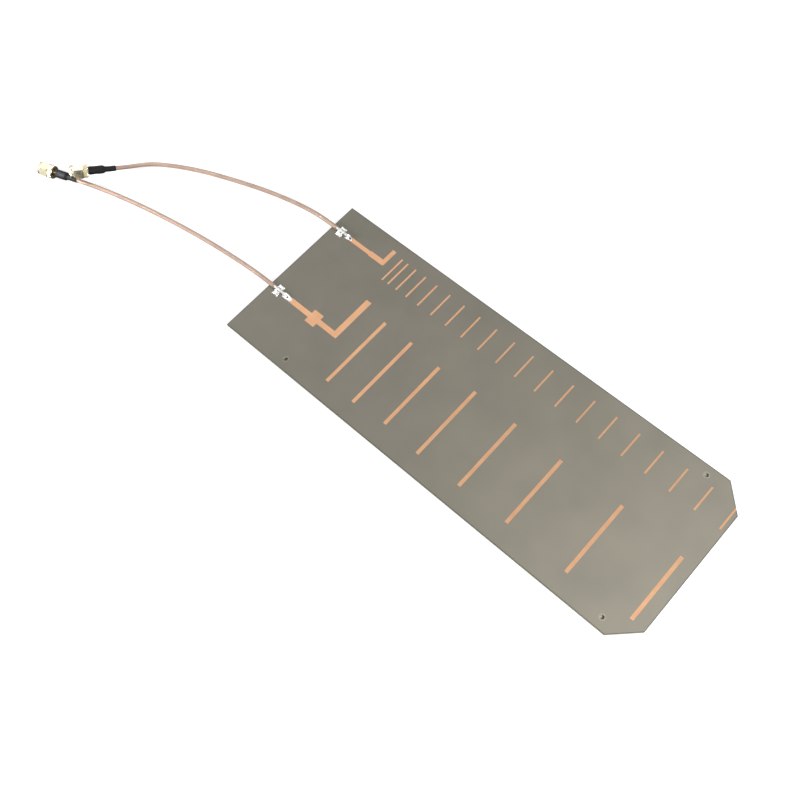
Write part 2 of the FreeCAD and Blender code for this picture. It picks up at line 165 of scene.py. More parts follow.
def weighted(tree, first, first_weight, second, second_weight):
    """Two numbers added by weight."""
    first_part = maths(tree, "MULTIPLY", first, first_weight)
    return maths(tree, "ADD", first_part, maths(tree, "MULTIPLY", second, second_weight))


def ramp(tree, value, low, high, out_low=0.0, out_high=1.0):
    """A straight run from out_low, where the value is low, to out_high, where it is high."""
    node = add(tree, "ShaderNodeMapRange", {
        "Value": value, "From Min": low, "From Max": high, "To Min": out_low, "To Max": out_high,
    }, clamp=True)
    return node.outputs[0]


def mix_number(tree, factor, first, second):
    node = add(tree, "ShaderNodeMix", {0: factor, 2: first, 3: second}, data_type="FLOAT")
    return node.outputs[0]


def mix_colour(tree, factor, first, second):
    colours = [(*value, 1.0) if isinstance(value, tuple) else value for value in (first, second)]
    node = add(tree, "ShaderNodeMix", {0: factor, 6: colours[0], 7: colours[1]}, data_type="RGBA")
    return node.outputs[2]


def noise_of(tree, place, size, detail=3.0, roughness=0.5):
    """Noise whose blotches are about size metres across."""
    node = add(tree, "ShaderNodeTexNoise", {
        "Vector": place, "Scale": 1 / size, "Detail": detail, "Roughness": roughness,
    })
    return node.outputs["Fac"]


def tint(tree, tone, dark, light):
    """From one colour to the other over the middle of a noise's range."""
    return mix_colour(tree, ramp(tree, tone, *tint_range), dark, light)


def vary(tree, tone, low, high):
    """From one number to the other over the middle of a noise's range."""
    return ramp(tree, tone, *vary_range, low, high)


def bump(tree, height, depth, strength=1.0):
    node = add(tree, "ShaderNodeBump", {"Height": height, "Distance": depth, "Strength": strength})
    return node.outputs[0]


# Board: matt grey coat on the faces, glass-epoxy on the cut edges and in the holes
corner_cut = 0.013
coat_light = (0.205, 0.189, 0.149)
coat_dark = (0.176, 0.165, 0.132)
coat_edge_start = 0.00009
coat_edge_full = 0.00005
coat_rough = (0.47, 0.6)
coat_rough_size = 0.004
coat_bump = 0.000006
face_range = (0.4, 0.6)
cloud_size = 0.030
cloud_share = 0.7
speckle_size = 0.0004
speckle_share = 0.3
rim_colour = (0.085, 0.080, 0.062)
rim_width = 0.00035
rim_end = rim_width * 1.4
ring_colour = (0.34, 0.32, 0.26)
ring_strength = 0.3
ring_full_r = 0.00175
ring_r = 0.00195
laminate_light = (0.42, 0.40, 0.28)
laminate_dark = (0.24, 0.22, 0.15)
layer_scale = 1700.0
layer_detail_scale = 900.0
cloth_scale = 320.0
cloth_share = 0.35


def screw_hole_places():
    pair = mounts["edge_holes"]
    middle = Vector(pair["pos_m"])
    half = Vector((pair["dims"]["spacing_x_mm"] / 2000, 0, 0))
    return [middle - half, middle + half, Vector(mounts["corner_hole"]["pos_m"])]


def edge_distance(tree, place):
    """How far inside the board's outline a place is, with its two cut corners."""
    x, y, _ = components(tree, place)
    across = maths(tree, "ABSOLUTE", y)
    to_sides = maths(tree, "SUBTRACT", board_high.y, across)
    to_ends = maths(tree, "SUBTRACT", board_high.x, maths(tree, "ABSOLUTE", x))
    reach = board_high.x + board_high.y - corner_cut
    slant = maths(tree, "SUBTRACT", reach, maths(tree, "ADD", x, across))
    to_corners = maths(tree, "MULTIPLY", slant, math.sqrt(0.5))
    return maths(tree, "MINIMUM", maths(tree, "MINIMUM", to_sides, to_ends), to_corners)


def coat_colour(tree, place, speckle):
    """Cloudy grey, with a pale ring round each screw hole and a dark rim."""
    cloudy = noise_of(tree, place, cloud_size, detail=2.0)
    tone = weighted(tree, cloudy, cloud_share, speckle, speckle_share)
    coat = tint(tree, tone, coat_dark, coat_light)
    to_hole = 1.0
    for hole in screw_hole_places():
        to_hole = maths(tree, "MINIMUM", to_hole, distance(tree, place, (hole.x, hole.y, top)))
    ring = maths(tree, "MULTIPLY", ramp(tree, to_hole, ring_r, ring_full_r), ring_strength)
    coat = mix_colour(tree, ring, coat, ring_colour)
    rim = ramp(tree, edge_distance(tree, place), rim_width, rim_end, 1.0, 0.0)
    return mix_colour(tree, rim, coat, rim_colour)


def laminate_colour(tree, place):
    layers = add(tree, "ShaderNodeTexWave", {
        "Vector": place, "Scale": layer_scale, "Distortion": 1.5,
        "Detail": 2.0, "Detail Scale": layer_detail_scale,
    }, wave_type="BANDS", bands_direction="Z")
    return mix_colour(tree, layers.outputs["Fac"], laminate_dark, laminate_light)


def coated_share(tree, place):
    """1 on the two faces and over the coat's thickness, and 0 on the laminate between."""
    normal = add(tree, "ShaderNodeNewGeometry").outputs["Normal"]
    face = ramp(tree, maths(tree, "ABSOLUTE", components(tree, normal)[2]), *face_range)
    half = top / 2
    from_middle = maths(tree, "ABSOLUTE", maths(tree, "SUBTRACT", components(tree, place)[2], half))
    skin = ramp(tree, from_middle, half - coat_edge_start, half - coat_edge_full)
    return maths(tree, "MAXIMUM", face, skin)


def cloth_height(tree, place):
    """The weave of the glass cloth, faint under the coat."""
    ways = []
    for way in ("X", "Y"):
        values = {"Vector": place, "Scale": cloth_scale}
        ways.append(add(tree, "ShaderNodeTexWave", values, bands_direction=way).outputs["Fac"])
    return maths(tree, "MULTIPLY", *ways)


def board_material():
    material, tree = new_material("board_coat")
    place = object_place(tree)
    speckle = noise_of(tree, place, speckle_size, detail=2.0, roughness=0.6)
    coat = coat_colour(tree, place, speckle)
    surface = weighted(tree, cloth_height(tree, place), cloth_share, speckle, 1.0)
    set_shader(material, {
        "Base Color": mix_colour(tree, coated_share(tree, place), laminate_colour(tree, place), coat),
        "Roughness": vary(tree, noise_of(tree, place, coat_rough_size), *coat_rough),
        "Normal": bump(tree, surface, coat_bump),
    })
    return material


# Copper foil, brushed along the board and a little blotchy
copper_dark = (0.58, 0.315, 0.178)
copper_light = (0.655, 0.37, 0.205)
brush_stretch = (1, 14, 1)
brush_size = 0.0009
brush_share = 0.4
copper_patch_size = 0.006
copper_patch_share = 0.6
copper_rough = (0.36, 0.5)
copper_bump = 0.000004


def copper_material():
    material, tree = new_material("copper")
    brushed = noise_of(tree, object_place(tree, brush_stretch), brush_size, roughness=0.6)
    patches = noise_of(tree, object_place(tree), copper_patch_size)
    tone = weighted(tree, brushed, brush_share, patches, copper_patch_share)
    set_shader(material, {
        "Base Color": tint(tree, tone, copper_dark, copper_light),
        "Metallic": 0.75,
        "Roughness": vary(tree, brushed, *copper_rough),
        "Normal": bump(tree, brushed, copper_bump),
    })
    return material


# Plain metals and plastics: two close colours, a range of roughness and a fine grain
def metal_material(name, light, dark, rough, grain, depth, patch=0.0012):
    material, tree = new_material(name)
    place = object_place(tree)
    patches = noise_of(tree, place, patch)
    set_shader(material, {
        "Base Color": tint(tree, patches, dark, light),
        "Metallic": 1.0,
        "Roughness": vary(tree, patches, *rough),
        "Normal": bump(tree, noise_of(tree, place, grain, detail=2.0), depth),
    })
    return material


def plastic_material(name, light, dark, rough, grain, depth, specular=0.5, patch=0.003):
    material, tree = new_material(name)
    place = object_place(tree)
    fine = noise_of(tree, place, grain, detail=2.0)
    set_shader(material, {
        "Base Color": tint(tree, noise_of(tree, place, patch), dark, light),
        "Specular IOR Level": specular,
        "Roughness": vary(tree, fine, *rough),
        "Normal": bump(tree, fine, depth),
    })
    return material


# Cable jacket: clear brown plastic over a silver braid, whose crossing strands show through
jacket_dark = (0.37, 0.235, 0.17)
jacket_light = (0.47, 0.31, 0.23)
strand_colour = (0.64, 0.48, 0.39)
strand_range = (-0.3, 0.8)
strand_strength = 0.55
strand_bump = 0.00002
jacket_patch_size = 0.006
lead_map = "UVMap"


def jacket_material():
    material, tree = new_material("jacket")
    along, turn, _ = components(tree, add(tree, "ShaderNodeUVMap", uv_map=lead_map).outputs[0])
    wound = maths(tree, "MULTIPLY", along, bundles / braid_pitch)
    strands = []
    for hand in (1.0, -1.0):
        slant = maths(tree, "ADD", wound, maths(tree, "MULTIPLY", turn, bundles * hand))
        strands.append(maths(tree, "SINE", maths(tree, "MULTIPLY", slant, 2 * math.pi)))
    weave = maths(tree, "MULTIPLY", *strands)
    patches = noise_of(tree, object_place(tree), jacket_patch_size, detail=2.0)
    plastic = tint(tree, patches, jacket_dark, jacket_light)
    showing = ramp(tree, weave, *strand_range, 0.0, strand_strength)
    set_shader(material, {
        "Base Color": mix_colour(tree, showing, plastic, strand_colour),
        "Metallic": 0.25,
        "Roughness": 0.38,
        "Coat Weight": 1.0,
        "Coat Roughness": 0.12,
        "Coat IOR": 1.34,
        "Normal": bump(tree, weave, strand_bump, strength=0.5),
    })
    return material


materials = {
    "board_coat": board_material(),
    "copper": copper_material(),
    "solder": metal_material(
        "solder", light=(0.94, 0.94, 0.92), dark=(0.78, 0.78, 0.76),
        rough=(0.16, 0.34), grain=0.00025, depth=0.00001),
    "braid": metal_material(
        "braid", light=(0.80, 0.79, 0.76), dark=(0.58, 0.57, 0.54),
        rough=(0.25, 0.4), grain=0.0001, depth=0.000004),
    "jacket": jacket_material(),
    "inner_insulation": plastic_material(
        "inner_insulation", light=(0.86, 0.86, 0.84), dark=(0.78, 0.78, 0.76),
        rough=(0.35, 0.5), grain=0.0003, depth=0.000004),
    "inner_wire": metal_material(
        "inner_wire", light=(0.85, 0.84, 0.81), dark=(0.7, 0.68, 0.64),
        rough=(0.2, 0.3), grain=0.0002, depth=0.000002),
    "gold": metal_material(
        "gold", light=(0.91, 0.84, 0.62), dark=(0.84, 0.755, 0.50),
        rough=(0.14, 0.24), grain=0.0003, depth=0.000003, patch=0.002),
    "spring_metal": metal_material(
        "spring_metal", light=(0.78, 0.58, 0.32), dark=(0.66, 0.47, 0.25),
        rough=(0.25, 0.35), grain=0.0003, depth=0.000003),
    # crimp_metal: the gold-plated ferrule is painted near-black bronze, as painted shade for the deep shade it
    # lies in between nut and sleeve
    "crimp_metal": metal_material(
        "crimp_metal", light=(0.15, 0.105, 0.07), dark=(0.10, 0.07, 0.045),
        rough=(0.25, 0.4), grain=0.0003, depth=0.000005),
    "gasket": plastic_material(
        "gasket", light=(0.5, 0.1, 0.05), dark=(0.42, 0.08, 0.04),
        rough=(0.5, 0.65), grain=0.0002, depth=0.000006),
    "sleeve": plastic_material(
        "sleeve", light=(0.012, 0.011, 0.012), dark=(0.008, 0.008, 0.009),
        rough=(0.55, 0.7), grain=0.0005, depth=0.00002, specular=0.3),
}


def dress(piece, slot):
    piece.data.materials.clear()
    piece.data.materials.append(materials[slot])


slots = {row["node"]: row["material_slot"] for row in frame["record"]["subparts"]}
for node, cad_piece in frame["nodes"].items():
    dress(cad_piece, slots[node])


# Object and mesh helpers
def show(name, data):
    """An object in the scene with this mesh, curve, lamp or camera."""
    shown = bpy.data.objects.new(name, data)
    bpy.context.scene.collection.objects.link(shown)
    return shown


def make_piece(name, vertices, faces, body, slot, smooth=True):
    mesh = bpy.data.meshes.new(name)
    mesh.from_pydata([tuple(v) for v in vertices], [], faces)
    mesh.update()
    return finish_piece(show(name, mesh), body, slot, smooth)


def finish_piece(piece, body, slot, smooth=True):
    dress(piece, slot)
    if smooth:
        piece.data.polygons.foreach_set("use_smooth", [True] * len(piece.data.polygons))
    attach(piece, body)
    return piece


def grid_faces(rings, sides, close_rings=False, offset=0):
    """Quads between rings of equally many points; the last ring may join the first."""
    faces = []
    for i in range(rings if close_rings else rings - 1):
        a = offset + i * sides
        b = offset + ((i + 1) % rings) * sides
        for k in range(sides):
            n = (k + 1) % sides
            faces.append((a + k, a + n, b + n, b + k))
    return faces


def rod_faces(rings, sides, offset=0):
    """Quads between rings, and a face across each end."""
    faces = grid_faces(rings, sides, offset=offset)
    faces.append(tuple(offset + k for k in reversed(range(sides))))
    faces.append(tuple(offset + (rings - 1) * sides + k for k in range(sides)))
    return faces


def lathe(name, profile, placing, body, slot, sides, shape):
    """A closed shell turned about X from its closed (x, r) profile; shape changes r by angle."""
    vertices = []
    for x, r in profile:
        for k in range(sides):
            angle = 2 * math.pi * k / sides
            radius = shape(x, r, angle)
            vertices.append(placing @ Vector((x, radius * math.cos(angle), radius * math.sin(angle))))
    return make_piece(name, vertices, grid_faces(len(profile), sides, close_rings=True), body, slot)


def ease(value):
    """A smooth step from 0 to 1, as the value goes from 0 to 1."""
    value = min(1.0, max(0.0, value))
    return value * value * (3 - 2 * value)


# Six flats, for the nuts and for the sleeves on their pressed ferrules
flat_share = math.cos(math.pi / 6)


def from_flat(angle):
    """The turn from the middle of the nearest flat."""
    return (angle + math.pi / 6) % (math.pi / 3) - math.pi / 6


# Leads
lead_sides = 24


def spline_line(name, points):
    """The smooth line of a NURBS spline with these control points."""
    curve = bpy.data.curves.new(name, "CURVE")
    curve.dimensions = "3D"
    curve.resolution_u = 16
    spline = curve.splines.new("NURBS")
    spline.points.add(len(points) - 1)
    for control, point in zip(spline.points, points):
        control.co = (*point, 1.0)
    spline.order_u = 3
    spline.use_endpoint_u = True
    holder = show(name, curve)
    bpy.context.view_layer.update()
    evaluated = holder.evaluated_get(bpy.context.evaluated_depsgraph_get())
    mesh = bpy.data.meshes.new_from_object(evaluated)
    line = [v.co.copy() for v in mesh.vertices]
    bpy.data.meshes.remove(mesh)
    bpy.data.objects.remove(holder)
    bpy.data.curves.remove(curve)
    return line


def tube_along(name, line, radius, sides, body, slot):
    """A round tube with closed ends, and a map of length along it and turn round it."""
    up = Vector((0, 0, 1))
    vertices = []
    lengths = []
    length = 0.0
    for i, point in enumerate(line):
        before = line[max(i - 1, 0)]
        after = line[min(i + 1, len(line) - 1)]
        along = (after - before).normalized()
        across = up.cross(along).normalized()
        over = along.cross(across)
        if i:
            length += (point - line[i - 1]).length
        lengths.append(length)
        for k in range(sides):
            angle = 2 * math.pi * k / sides
            vertices.append(point + (across * math.cos(angle) + over * math.sin(angle)) * radius)
    piece = make_piece(name, vertices, rod_faces(len(line), sides), body, slot)
    layer = piece.data.uv_layers.new(name=lead_map)
    for polygon in piece.data.polygons:
        corners = [(piece.data.loops[i].vertex_index, i) for i in polygon.loop_indices]
        wraps = any(v % sides == sides - 1 for v, _ in corners)
        for vertex, loop in corners:
            turn = vertex % sides
            if turn == 0 and wraps:
                turn = sides
            layer.data[loop].uv = (lengths[vertex // sides], turn / sides)
    return piece


def lead_route(exit_y, free_points, plug):
    start = Vector((feed_x + jacket_end_x, exit_y, feed_cable_z))
    points = [start, start - Vector((lead_start_run, 0, 0))]
    points += [Vector((feed_x + x, y, cable_r + lift)) for x, y, lift in free_points]
    points.append(plug @ Vector((plug_lead, 0, 0)))
    points.append(plug @ Vector((jacket_in_plug, 0, 0)))
    return points


# Plug sleeves: shrunk over the pressed ferrule, so its flats and edge show through
sleeve_starts = {"low": 0.0122, "high": 0.0106}
sleeve_step = 0.0191
sleeve_slope = 0.0011
slope_lead = 0.0007
slope_spread = 0.0012
sleeve_end = 0.0263
sleeve_big_r = 0.00248
sleeve_small_r = 0.00168
sleeve_wall = 0.00038
sleeve_rings = 60
sleeve_sides = 48
edge_drop = 0.00008
edge_run = 0.0002
press_start = 0.0130
press_end = 0.0166
press_run = 0.0006
press_depth = 0.00012
wobble_seeds = {"low": Vector((0, 0, 0)), "high": Vector((7, 3, 5))}
wobble_scale = 450
wobble_turn = 0.8
wobble_depth = 0.00003
loose_run = 0.002


def sleeve(band):
    start = sleeve_starts[band]

    def outside(x):
        drop = ease((x - (sleeve_step - slope_lead)) / (sleeve_slope + slope_spread))
        return sleeve_big_r + (sleeve_small_r - sleeve_big_r) * drop

    def outer_point(x):
        from_end = min(x - start, sleeve_end - x)
        return x, outside(x) - edge_drop * (1 - ease(from_end / edge_run))

    def shape(x, r, angle):
        pressed = ease((x - press_start) / press_run) * ease((press_end - x) / press_run)
        flat = flat_share / math.cos(from_flat(angle))
        dent = press_depth * pressed * (1 - flat) / (1 - flat_share)
        across = (math.cos(angle) * wobble_turn, math.sin(angle) * wobble_turn)
        wobble = noise.noise(Vector((x * wobble_scale, *across)) + wobble_seeds[band])
        loose = ease((x - (sleeve_step + sleeve_slope)) / loose_run)
        return r - dent - wobble_depth * (1 + wobble) * (1 + loose)

    xs = [start + (sleeve_end - start) * i / sleeve_rings for i in range(sleeve_rings + 1)]
    outer = [outer_point(x) for x in xs]
    inner = [(x, outside(x) - sleeve_wall) for x in reversed(xs)]
    piece = lathe(
        band + "_sleeve", outer + inner, plug_frames[band], "antenna", "sleeve", sleeve_sides, shape)
    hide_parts(band + "_heat_shrink")
    return piece


# Coupling nuts: six flats, then a knurled collar behind them, as wide as the flats. The
# outlines are (x, r) from the nut's front, round its outside and back through its inside
nut_sides = 216
nut_end = 0.0100
nut_half_flat = 0.0040
nut_corner_r = nut_half_flat / flat_share
lip_r = 0.00385
lip_end = 0.0016
flats_end = 0.0073
bore_r = 0.00288
bore_end = 0.0054
relief_r = 0.00325
relief_end = 0.0072
neck_r = 0.00278
groove_start = 0.00765
groove_end = 0.00825
groove_r = 0.00322
recess_start = 0.0087
recess_r = 0.00345
lead_in = 0.00035
flats_start = 0.00205
bevel_start = 0.0070
bevel_r = 0.0042
undercut_step = 0.00002
undercut_r = 0.0038
collar_start = 0.0076
collar_end = 0.0097
collar_r = nut_half_flat - 0.00002
nut_end_r = 0.00375
knurl_depth = 0.00024
knurl_ridges = 36
sharp_angle = math.radians(8)
side_tilt = 0.01
nut_outside = [
    (0.0, lip_r - lead_in), (lead_in, lip_r), (lip_end, lip_r), (flats_start, nut_corner_r),
    (bevel_start, nut_corner_r), (flats_end, bevel_r), (flats_end + undercut_step, undercut_r),
    (collar_start, collar_r), (collar_end, collar_r), (nut_end, nut_end_r),
]
nut_inside = [
    (nut_end, recess_r), (recess_start, recess_r), (recess_start, neck_r), (groove_end, neck_r),
    (groove_end, groove_r), (groove_start, groove_r), (groove_start, neck_r), (relief_end, neck_r),
    (relief_end, relief_r), (bore_end, relief_r), (bore_end, bore_r), (lead_in, bore_r),
    (0.0, bore_r + lead_in),
]


def flat_turn(band):
    """The angle round the plug's axis at which one flat of the CAD nut faces."""
    node = frame["nodes"][band + "_coupling_nut"]
    turned = (plug_frames[band].inverted() @ node.matrix_world).to_3x3()
    sides = [p for p in node.data.polygons if abs((turned @ p.normal).x) < side_tilt]
    normal = turned @ max(sides, key=lambda p: p.area).normal
    return math.atan2(normal.z, normal.y)


def coupling_nut(band):
    def shape(x, r, angle):
        if x <= flats_end:
            return min(r, nut_half_flat / math.cos(from_flat(angle)))
        if r == collar_r:
            return r - knurl_depth * (1 - abs(math.sin(knurl_ridges * angle / 2)))
        return r

    turned = plug_frames[band] @ Matrix.Rotation(flat_turn(band), 4, "X")
    piece = lathe(
        band + "_knurled_nut", nut_outside + nut_inside, turned, band + "_nut", "gold", nut_sides, shape)
    piece.data.set_sharp_from_angle(angle=sharp_angle)
    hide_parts(band + "_coupling_nut")
    return piece


# Screw thread inside each nut: a ridge on the bore that fades out at both ends
thread_pitch = 0.0007056
thread_start = 0.00045
thread_end = 0.0053
thread_ridge = 0.00013
thread_sink = 0.00002
thread_half = thread_pitch * 0.32
crest_share = 0.3
steps_a_turn = 40
fade_turns = 0.4


def thread(band):
    steps = int((thread_end - thread_start) / thread_pitch * steps_a_turn)
    foot_r = bore_r + thread_sink
    crest_half = thread_half * crest_share
    vertices = []
    for i in range(steps + 1):
        angle = 2 * math.pi * i / steps_a_turn
        x = thread_start + thread_pitch * i / steps_a_turn
        crest_r = bore_r - thread_ridge * ease(min(i, steps - i) / (steps_a_turn * fade_turns))
        section = (
            (-thread_half, foot_r), (-crest_half, crest_r), (crest_half, crest_r), (thread_half, foot_r))
        for dx, r in section:
            point = Vector((x + dx, r * math.cos(angle), r * math.sin(angle)))
            vertices.append(plug_frames[band] @ point)
    faces = rod_faces(steps + 1, len(section))
    return make_piece(band + "_nut_thread", vertices, faces, band + "_nut", "gold", smooth=False)


# Bared braid at the board: flat bundles of wire wound both ways, over and under each other
bundle_half = 0.00016
bundle_turn = bundle_half / braid_r
bundle_t = 0.00005
bundle_section = ((-1, 0), (-0.6, 1), (0.6, 1), (1, 0))
bundle_steps = 44
crossing_lift = 0.00004
braid_tuck = 0.0001


def bundle_points(y, hand, number):
    """One bundle: a flat ridge that winds round the cable and goes over and under the others."""
    start = feed_x + jacket_end_x - braid_tuck
    end = feed_x + braid_end_x
    points = []
    for i in range(bundle_steps + 1):
        x = start + (end - start) * (i / bundle_steps)
        middle = hand * 2 * math.pi * (x - start) / braid_pitch + 2 * math.pi * number / bundles
        crossing = bundles * (2 * (x - start) / braid_pitch) + number * hand
        lift = hand * math.cos(math.pi * crossing) * crossing_lift
        for side, out in bundle_section:
            angle = middle + side * bundle_turn
            r = braid_r - bundle_t + lift + out * bundle_t
            points.append(Vector((x, y + r * math.cos(angle), feed_cable_z + r * math.sin(angle))))
    return points


def bared_braid(band, y):
    vertices = []
    faces = []
    for hand in (1, -1):
        for number in range(bundles):
            faces += rod_faces(bundle_steps + 1, len(bundle_section), offset=len(vertices))
            vertices += bundle_points(y, hand, number)
    make_piece(band + "_braid_strands", vertices, faces, "antenna", "braid")


# Solder, melted from balls and blocks into smooth drops
drop_smoothing = 0.6
drop_smooth_steps = 8
drop_wave_scale = 1400
drop_wave_height = 0.00004
cutter_size = 0.02
cutter_depth = 0.01


def drops(name, shapes, voxel, hole=None):
    """Shapes (form, centre, half sizes) melted together and cut off at the board, and a hole."""
    build = bmesh.new()
    for form, centre, half_sizes in shapes:
        matrix = Matrix.Translation(centre) @ Matrix.Diagonal((*half_sizes, 1.0))
        if form == "block":
            bmesh.ops.create_cube(build, size=2.0, matrix=matrix)
        else:
            bmesh.ops.create_uvsphere(build, u_segments=32, v_segments=20, radius=1.0, matrix=matrix)
    piece = show_built(name, build)
    remesh = piece.modifiers.new("Remesh", "REMESH")
    remesh.mode = "VOXEL"
    remesh.voxel_size = voxel
    smooth = piece.modifiers.new("Smooth", "SMOOTH")
    smooth.factor = drop_smoothing
    smooth.iterations = drop_smooth_steps
    bake_modifiers(piece)
    for vertex in piece.data.vertices:
        vertex.co.z += drop_wave_height * noise.noise(vertex.co * drop_wave_scale)
    middle = sum((centre for _, centre, _ in shapes), Vector((0, 0, 0))) / len(shapes)
    cutters = [block_below(middle, top)]
    if hole:
        cutters.append(hole_cutter(*hole))
    for cutter in cutters:
        cut = piece.modifiers.new("Cut", "BOOLEAN")
        cut.operation = "DIFFERENCE"
        cut.solver = "EXACT"
        cut.object = cutter
    bake_modifiers(piece)
    for cutter in cutters:
        bpy.data.objects.remove(cutter)
    return finish_piece(piece, "antenna", "solder")


def show_built(name, build):
    mesh = bpy.data.meshes.new(name)
    build.to_mesh(mesh)
    build.free()
    return show(name, mesh)


def bake_modifiers(piece):
    bpy.context.view_layer.update()
    evaluated = piece.evaluated_get(bpy.context.evaluated_depsgraph_get())
    mesh = bpy.data.meshes.new_from_object(evaluated)
    piece.modifiers.clear()
    piece.data = mesh


def block_below(middle, level):
    """A block whose top is at this level."""
    build = bmesh.new()
    centre = Matrix.Translation((middle.x, middle.y, level - cutter_size / 2))
    bmesh.ops.create_cube(build, size=1.0, matrix=centre @ Matrix.Scale(cutter_size, 4))
    return show_built("cutter", build)


def hole_cutter(x, y, r):
    build = bmesh.new()
    bmesh.ops.create_cone(
        build, cap_ends=True, segments=32, radius1=r, radius2=r, depth=cutter_depth,
        matrix=Matrix.Translation((x, y, top)))
    return show_built("cutter", build)


# Solder on the shield pad: a saddle over the braid, and a foot on each side that covers the
# pad. The feet differ, so their sizes go by side: -1 is towards lower y and 1 towards higher
pad_middle_x = 0.0067
pad_rim = 0.00012
saddle_half_y = 0.0009
saddle_ball = (0.0020, 0.00116, 0.00110)
saddle_ball_drop = 0.0001
saddle_block = (0.00200, 0.0016, 0.0008)
solder_lift = 0.0002
foot_half_x = 0.00202
foot_block_h = {-1: 0.00036, 1: 0.00032}
foot_ball_half_x = {-1: 0.00185, 1: 0.00180}
foot_ball_width = {-1: 1.0, 1: 0.9}
foot_ball_h = {-1: 0.00060, 1: 0.00036}
shield_voxel = 0.00012


def shield_solder(band, y, pad_half):
    x = feed_x + pad_middle_x
    foot_y = (pad_half + saddle_half_y) / 2
    foot_half = pad_half + pad_rim - foot_y
    shapes = [
        ("ball", Vector((x, y, feed_cable_z - saddle_ball_drop)), saddle_ball),
        ("block", Vector((x, y, top + solder_lift)), saddle_block),
    ]
    for side in (-1, 1):
        half_sizes = (foot_half_x, foot_half, foot_block_h[side])
        shapes.append(("block", Vector((x, y + side * foot_y, top)), half_sizes))
    for side in (-1, 1):
        half_sizes = (foot_ball_half_x[side], foot_half * foot_ball_width[side], foot_ball_h[side])
        shapes.append(("ball", Vector((x, y + side * foot_y, top + solder_lift)), half_sizes))
    piece = drops(band + "_shield_solder", shapes, shield_voxel)
    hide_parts(band + "_solder")


# Solder on the line: a bed over its end, and a bead that holds the wire, clear of the hole
bed_start_x = 0.0106
bed_end_half_y = 0.00158
bed_end_h = 0.0003
bed_h = 0.00045
bead = (0.0007, 0.00058, 0.00058)
feed_voxel = 0.0001


def feed_solder(band, y, bed_x, bed_half_x, bed_half_y):
    bed_end = ((bed_x - bed_start_x) / 2, bed_end_half_y, bed_end_h)
    drops(band + "_feed_solder", [
        ("block", Vector((feed_x + (bed_start_x + bed_x) / 2, y, top)), bed_end),
        ("ball", Vector((feed_x + bed_x, y, top)), (bed_half_x, bed_half_y, bed_h)),
        ("ball", Vector((feed_x + wire_joint_x, y, top + solder_lift)), bead),
    ], feed_voxel, hole=(feed_x + feed_hole_x, y, feed_hole_r))


# The pieces in each plug, by the ends of their names
plug_nodes = (
    "_retaining_ring", "_plug_body", "_plug_insulator", "_centre_contact", "_gasket",
    "_crimp_ferrule", "_cable_braid", "_cable_insulation", "_cable_wire",
)


def lead(band, y, free_points):
    route = lead_route(y, free_points, plug_frames[band])
    line = spline_line(band + "_lead", route)
    piece = tube_along(band + "_lead", line, cable_r, lead_sides, "antenna", "jacket")
    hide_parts(band + "_cable_jacket")
    carried = [frame["nodes"][band + ending] for ending in plug_nodes]
    carried += [sleeve(band), coupling_nut(band), thread(band)]


lead("low", low_y, low_lead_points)
lead("high", high_y, high_lead_points)
bared_braid("low", low_y)
bared_braid("high", high_y)
shield_solder("low", low_y, pad_half=0.0033)
feed_solder("low", low_y, bed_x=0.0140, bed_half_x=0.0034, bed_half_y=0.00158)
shield_solder("high", high_y, pad_half=0.0030)
feed_solder("high", high_y, bed_x=0.0126, bed_half_x=0.0024, bed_half_y=0.00150)


# Floor: pale, and white to the camera apart from a soft shadow. It is dark under the board.
# Close beside the plugs it has painted shade that only glossy rays see, for the plugs' metal to mirror
floor_size = 6.0
floor_drop = 0.00005
floor_grey = (0.80, 0.80, 0.80, 1)
floor_white = 0.79
far_white = 0.25
far_start = 0.28
far_full = 0.5
floor_shade = 0.36
under_board_run = 0.0005
# Painted shade on the floor, seen only in gloss: centred at this offset in each plug's own axes, darkest within
# the inner reach and gone beyond the outer
painted_shade_spot = Vector((0.012, -0.008, 0))
painted_shade_reach = 0.045
painted_shade_full = painted_shade_reach * 0.4
painted_shade_level = 0.22
dark_shade = floor_shade * 0.3


def painted_plug_shade(tree, place):
    """1, and lower close beside the plugs: painted shade, which only glossy rays see."""
    level = 1.0
    for plug in plug_frames.values():
        spot = plug @ painted_shade_spot
        away = distance(tree, place, (spot.x, spot.y, 0))
        level = maths(tree, "MULTIPLY", level, ramp(tree, away, painted_shade_full, painted_shade_reach, painted_shade_level, 1.0))
    return level


